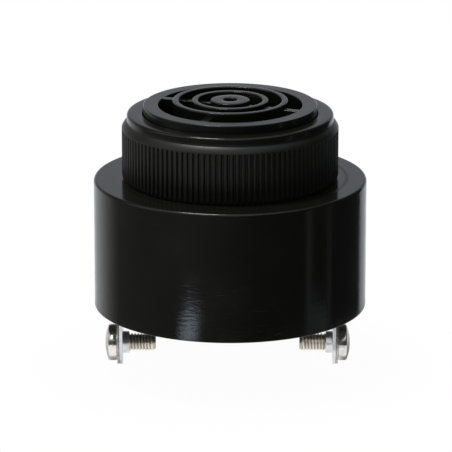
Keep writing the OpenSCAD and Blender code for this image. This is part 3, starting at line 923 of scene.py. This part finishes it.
def make_washer(side, name, body, material):
    """Lock washer whose teeth are each given a slight twist.

    Each tooth has three columns of points, at its two flanks (-1 and 1) and its middle (0).
    """
    notch_r = WASHER_R - NOTCH_DEPTH
    pitch = 2 * math.pi / TOOTH_COUNT
    notch = NOTCH_W / WASHER_R
    low, high = (WASHER_T - WASHER_BLANK) / 2, (WASHER_T + WASHER_BLANK) / 2
    twist = low
    columns = []
    for i in range(TOOTH_COUNT):
        for part in (-1, 0, 1):
            columns.append((i * pitch + part * (pitch - notch) / 2, part))
    shape = bmesh.new()

    def ring(radius, z, twisted):
        points = []
        for angle, part in columns:
            lift = twist * part if twisted else 0
            place = Vector((radius * math.cos(angle), radius * math.sin(angle), z + lift)) * MM
            points.append(shape.verts.new(place))
        return points

    layers = {}
    for level, z in (("low", low), ("high", high)):
        hole, root = ring(WASHER_HOLE_R, z, False), ring(notch_r, z, False)
        layers[level] = (hole, root, ring(WASHER_R, z, True))
    count = len(columns)
    for i in range(count):
        k = (i + 1) % count
        tooth = columns[i][1] < 1
        for level in ("low", "high"):
            hole, root, tip = layers[level]
            shape.faces.new((hole[i], hole[k], root[k], root[i]))
            if tooth:
                shape.faces.new((root[i], root[k], tip[k], tip[i]))
        below, above = layers["low"], layers["high"]
        shape.faces.new((below[0][i], below[0][k], above[0][k], above[0][i]))
        outer = 2 if tooth else 1
        shape.faces.new((below[outer][i], below[outer][k], above[outer][k], above[outer][i]))
        if columns[i][1] != 0:
            shape.faces.new((below[1][i], below[2][i], above[2][i], above[1][i]))
    bmesh.ops.recalc_face_normals(shape, faces=shape.faces)
    mesh = bpy.data.meshes.new(name)
    shape.to_mesh(mesh)
    shape.free()
    washer = bpy.data.objects.new(name, mesh)
    bpy.context.scene.collection.objects.link(washer)
    at_terminal(washer, side)
    smooth(softened(washer, TOOTH_ROUND))
    return placed(washer, body, name.replace("_toothed", ""), material)


# Finishes of the part
BLACK = (0.0094, 0.0095, 0.0066)
NICKEL = (0.85, 0.82, 0.77)
TIN = (0.70, 0.71, 0.72)

# Sink mark on the shoulder: its radius, half width and added roughness
SINK_MARK = (18.5, 0.65, 0.22)

# Smoother skin of the nut's band, and of its collar from a little above the band
COLLAR_SKIN_RISE = 0.3
NUT_POLISH = ((RIBS_TOP_Z, 0.4), (BAND_TOP_Z + COLLAR_SKIN_RISE, 0.15))

# Grain of the terminal strips, drawn out along Y
STRIP_GRAIN = (1.0, 0.2, 1.0)

housing_plastic = moulded_plastic(
    "housing_plastic", BLACK, roughness=0.15, wave_mm=0.006, wipe_mm=0.02, dull_ring=SINK_MARK)
nut_plastic = moulded_plastic(
    "nut_plastic", BLACK, roughness=0.48, wave_mm=0.004, polished=NUT_POLISH)
plate_plastic = moulded_plastic("plate_plastic", BLACK, roughness=0.4, wave_mm=0.008)
screw_nickel = plated_metal("screw_nickel", NICKEL, roughness=0.16, grain_mm=0.004, shaded_grimy_thread=True)
washer_nickel = plated_metal("washer_nickel", TIN, roughness=0.42, grain_mm=0.006)
terminal_tin = plated_metal(
    "terminal_tin", TIN, roughness=0.3, grain_mm=0.006, grain_stretch=STRIP_GRAIN)

# Pieces inside: each has a name, a colour, a roughness and, where it is metal, a 1 for that
INNER_FINISHES = {
    "diaphragm_gasket": inner_material("gasket_rubber", (0.03, 0.03, 0.03), 0.8),
    "brass_diaphragm": inner_material("diaphragm_brass", (0.62, 0.44, 0.17), 0.3, 1.0),
    "piezo_ceramic": inner_material("piezo_ceramic", (0.55, 0.5, 0.4), 0.6),
    "silver_electrode": inner_material("electrode_silver", (0.8, 0.79, 0.76), 0.35, 1.0),
    "retainer_ring": inner_material("inner_plastic", (0.02, 0.02, 0.02), 0.5),
    "circuit_board": inner_material("board_green", (0.03, 0.16, 0.06), 0.4),
    "choke_core": inner_material("ferrite", (0.05, 0.05, 0.055), 0.6),
    "choke_winding": wound_material("copper_wire", (0.6, 0.25, 0.12), radian_mm=0.3),
    "transistor": inner_material("chip_epoxy", (0.02, 0.02, 0.022), 0.5),
    "diode": inner_material("chip_dark", (0.03, 0.03, 0.03), 0.5),
    "drive_resistor": inner_material("resistor_dark", (0.03, 0.03, 0.03), 0.4),
    "bias_resistor": inner_material("bias_dark", (0.03, 0.03, 0.03), 0.4),
    "capacitor": inner_material("chip_tan", (0.45, 0.33, 0.2), 0.5),
    "drive_lead": inner_material("lead_red", (0.45, 0.02, 0.02), 0.45),
    "ground_lead": inner_material("lead_black", (0.015, 0.015, 0.015), 0.45),
    "feedback_lead": inner_material("lead_white", (0.75, 0.75, 0.72), 0.45),
    "back_plate": plate_plastic,
}
for node, finish in INNER_FINISHES.items():
    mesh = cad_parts[node].data
    mesh.materials.clear()
    mesh.materials.append(finish)

make_housing(housing_plastic)
make_nut(nut_plastic)
for side, word in ((-1, "left"), (1, "right")):
    make_terminal(side, word + "_terminal_strip", terminal_tin)
    make_washer(side, word + "_lock_washer_toothed", word + "_screw", washer_nickel)
    make_screw(side, word + "_terminal_screw_threaded", word + "_screw", screw_nickel)


# Studio

# Floor: sizes in millimetres. Each row says where a change of its mirrored white starts and ends,
# and the levels there where they aren't 0 and 1.
FLOOR_R = 44.0
FLOOR_T = 1.0
FLOOR_GAP = 0.02
# Painted shadow and shade in the floor's mirrored white: nearly shut off under and behind the screw
# heads and out to the sides, and dimmed far in front on the right
FLOOR_BESIDE = (16.5, 18.5, 1.0, 0.1)
FLOOR_FRONT = (-1.8, -3.4)
FLOOR_FAR_FRONT = (-9.0, -16.0)
FLOOR_RIGHT = (2.0, 8.0, 0.0, 0.6)
FLOOR_RIM = (38.0, 50.0, 0.975, 1.0)
PAPER_SCALE = 60.0
PAPER_DARK = (0.88, 0.88, 0.88, 1)
PAPER_LIGHT = (0.92, 0.92, 0.92, 1)


def mirrored_rays(graph, rays):
    """1 for light that a glossy or clear surface passes on."""
    return graph.math("MAXIMUM", rays["Is Glossy Ray"], rays["Is Transmission Ray"])


def make_floor():
    """Round pale table top under the object; its rim melts into the white background."""
    top = CAD_LOW.z / MM - FLOOR_GAP
    foot = top - FLOOR_T
    outline = [(0, foot), (FLOOR_R, foot), (FLOOR_R, top), (0, top)]
    floor = turned_solid("floor", outline, FLOOR_SEGMENTS)
    material, graph, coords = new_material("floor_white")
    axes = graph.axes(coords)
    # Painted shadow: the mirrored white is nearly shut off under and behind the screw heads and out
    # to the sides
    beside = graph.span_mm(graph.math("ABSOLUTE", axes["X"]), *FLOOR_BESIDE)
    under = graph.math("MAXIMUM", beside, graph.span_mm(axes["Y"], *FLOOR_FRONT))
    # Painted shade: the mirrored white is dimmed far in front on the right
    right = graph.span_mm(axes["X"], *FLOOR_RIGHT)
    far = graph.math("MULTIPLY", graph.span_mm(axes["Y"], *FLOOR_FAR_FRONT), right)
    lit = graph.math("SUBTRACT", under, far)
    rays = graph.add("ShaderNodeLightPath").outputs
    mirrored = graph.math("MULTIPLY", mirrored_rays(graph, rays), lit)
    seen = graph.math("MAXIMUM", rays["Is Camera Ray"], mirrored)
    rim = graph.span_mm(graph.length(coords), *FLOOR_RIM)
    paper = graph.noise(coords, PAPER_SCALE, detail=2.0)
    colour = graph.blend(paper, PAPER_DARK, PAPER_LIGHT)
    diffuse = graph.add("ShaderNodeBsdfDiffuse", {"Color": colour}).outputs[0]
    glow = graph.add("ShaderNodeEmission", {"Strength": 1.0}).outputs[0]
    factor = graph.math("MULTIPLY", seen, rim)
    mixed = graph.add("ShaderNodeMixShader", {0: factor, 1: diffuse, 2: glow}).outputs[0]
    graph.add("ShaderNodeOutputMaterial", {"Surface": mixed})
    floor.data.materials.append(material)


# World light: each row says where a change starts and ends, and the levels there. Turns from
# straight behind and rises from level are in degrees, and sides are parts of a unit vector.
SWEEP_LEFT_TURNS = ((-85, -32, 0.0, 0.72), (-28, -6, 0.0, 0.28))
SWEEP_RIGHT_TURNS = ((38, 35.5, 0.0, 0.64), (30, 6, 0.0, 0.36))
SWEEP_RISE = (-7, 15, 1.0, 0.4)
SWEEP_TOP_RISE = (20, 44, 1.0, 0.2)
SWEEP_TALL_TURN = (-10, 25, 0.0, 0.75)
TABLE_RISE = (-22.5, -30, 0.0, 1.3)
TABLE_SIDE = (0.0, 0.55, 1.0, 0.1)
ROOM_SIDE = (-0.7, 0.5, 0.12, 0.03)
CEILING_RISE = (-4, 14, 0.0, 0.7)
CEILING_REAR = (-0.05, 0.3, 1.0, 0.1)
LEAN_RIGHT = (-0.1, 0.6, 0.0, math.radians(42))
LEAN_FRONT = (-0.2, -0.7, 0.0, math.radians(22))
COOL_TURN = (-60, 10)
PLAIN_LIGHT = (1, 1, 1, 1)
COOL_LIGHT = (0.92, 0.98, 1.06, 1)

# Thin upright lines of light: their turns and levels, half width, and the rise over which they end
LINES = ((110, 0.65), (87.6, 0.4))
LINE_HALF = 0.7
LINE_RISE = (12, 0)


def make_world():
    """Light that comes from all round the object.

    A white sweep stands behind, a white table lies below, a pale ceiling starts higher in front and
    on the right, and the rest is a dim room.
    """
    world = bpy.data.worlds.new("studio")
    bpy.context.scene.world = world
    world.use_nodes = True
    graph = Graph(world.node_tree)
    axes = graph.axes(graph.add("ShaderNodeTexCoord").outputs["Generated"])
    turn = graph.math("ARCTAN2", axes["X"], axes["Y"])
    rise = graph.math("ARCSINE", axes["Z"])

    def edge(value, start, end, to_start=0.0, to_end=1.0):
        return graph.span(value, math.radians(start), math.radians(end), to_start, to_end)

    def product(first, second):
        return graph.math("MULTIPLY", first, second)

    def larger(first, second):
        return graph.math("MAXIMUM", first, second)

    def line(place, level):
        start, end = place - 2 * LINE_HALF, place + 2 * LINE_HALF
        wide = product(edge(turn, start, place), edge(turn, end, place))
        return product(product(wide, edge(rise, *LINE_RISE)), level)

    left = graph.math("ADD", *(edge(turn, *row) for row in SWEEP_LEFT_TURNS))
    right = graph.math("ADD", *(edge(turn, *row) for row in SWEEP_RIGHT_TURNS))
    tall = larger(edge(rise, *SWEEP_TOP_RISE), edge(turn, *SWEEP_TALL_TURN))
    sweep = product(graph.math("MINIMUM", left, right), product(edge(rise, *SWEEP_RISE), tall))
    table = product(edge(rise, *TABLE_RISE), graph.span(axes["X"], *TABLE_SIDE))
    room = graph.span(axes["X"], *ROOM_SIDE)
    lean = larger(graph.span(axes["X"], *LEAN_RIGHT), graph.span(axes["Y"], *LEAN_FRONT))
    ceiling = edge(graph.math("SUBTRACT", rise, lean), *CEILING_RISE)
    ceiling = product(ceiling, graph.span(axes["Y"], *CEILING_REAR))
    level = larger(larger(sweep, table), larger(room, ceiling))
    for place, bright in LINES:
        level = larger(level, line(place, bright))
    rays = graph.add("ShaderNodeLightPath").outputs
    shown = larger(rays["Is Camera Ray"], product(mirrored_rays(graph, rays), sweep))
    strength = larger(level, shown)
    cool = product(edge(turn, *COOL_TURN), graph.math("SUBTRACT", 1.0, rays["Is Camera Ray"]))
    colour = graph.blend(cool, PLAIN_LIGHT, COOL_LIGHT)
    background = graph.add("ShaderNodeBackground", {"Color": colour, "Strength": strength})
    graph.add("ShaderNodeOutputWorld", {"Surface": background.outputs[0]})


def add_softbox(name, place, aim, size, power, colour=(1, 1, 1), mirrored_only=False):
    """Rectangular lamp, placed and sized in millimetres.

    One that is only mirrored shows in glossy surfaces and lights nothing else.
    """
    light = bpy.data.lights.new(name, "AREA")
    light.shape = "RECTANGLE"
    light.size, light.size_y = size[0] * MM, size[1] * MM
    light.energy = power
    light.color = colour
    lamp = bpy.data.objects.new(name, light)
    lamp.location = Vector(place) * MM
    lamp.rotation_mode = "QUATERNION"
    lamp.rotation_quaternion = (Vector(aim) - Vector(place)).to_track_quat("-Z", "Y")
    lamp.visible_camera = False
    lamp.visible_diffuse = not mirrored_only
    bpy.context.scene.collection.objects.link(lamp)


def make_camera():
    """Camera at the photograph's angle; the shoulder's middle falls on its place there."""
    distance, elevation = 600.0, math.radians(15.57)
    frame_px, scale_px_mm = 452.0, 6.30
    shoulder_px = Vector((230.3, 176.7))
    focal_px = scale_px_mm * distance
    offset = shoulder_px - Vector((frame_px, frame_px)) / 2
    pitch = elevation - math.atan(offset.y / focal_px)
    yaw = math.atan(offset.x / focal_px)
    data = bpy.data.cameras.new("camera")
    data.sensor_width = 36.0
    data.lens = focal_px / frame_px * data.sensor_width
    data.clip_start, data.clip_end = 0.01, 10.0
    camera = bpy.data.objects.new("camera", data)
    camera.location = Vector((0, -math.cos(elevation), math.sin(elevation))) * distance * MM
    look = Matrix.Rotation(yaw, 3, "Z") @ Vector((0, math.cos(pitch), -math.sin(pitch)))
    camera.rotation_mode = "QUATERNION"
    camera.rotation_quaternion = look.to_track_quat("-Z", "Y")
    bpy.context.scene.collection.objects.link(camera)
    bpy.context.scene.camera = camera


make_floor()
make_world()
add_softbox("top_softbox", place=(-104, 0, 450), aim=(0, 0, 0), size=(66, 130), power=0.8)

# Pale cards that lie low on either side and face up: place in X and Y, size, power and colour
SIDE_CARD_Z = -30.6
SIDE_CARDS = {
    "left_card": ((-26.5, -50), (11, 14), 0.0019, (0.86, 0.98, 1.12)),
    "right_card": ((51, -23), (14, 14), 0.00016, (0.9, 1, 1.06)),
}
for name, ((x, y), size, power, colour) in SIDE_CARDS.items():
    place, aim = (x, y, SIDE_CARD_Z), (x, y, 0)
    add_softbox(name, place, aim, size, power, colour, mirrored_only=True)

# Small white cards between the screws and the can's foot, which only the metal mirrors: place
# along X, rise over the screws, size and power
SCREW_CARD_Y = -4.5
SCREW_CARDS = {
    "right_boss_card": (13.6, 2.5, (5.4, 4.2), 6e-5),
    "left_head_card": (-19.3, 4.0, (0.95, 2.1), 1.2e-5),
}
for name, (x, rise, size, power) in SCREW_CARDS.items():
    place, aim = (x, SCREW_CARD_Y, SCREW_Z + rise), (x, 0, SCREW_Z + rise / 4)
    add_softbox(name, place, aim, size, power, mirrored_only=True)

make_camera()
bpy.context.scene.view_settings.view_transform = "Standard"
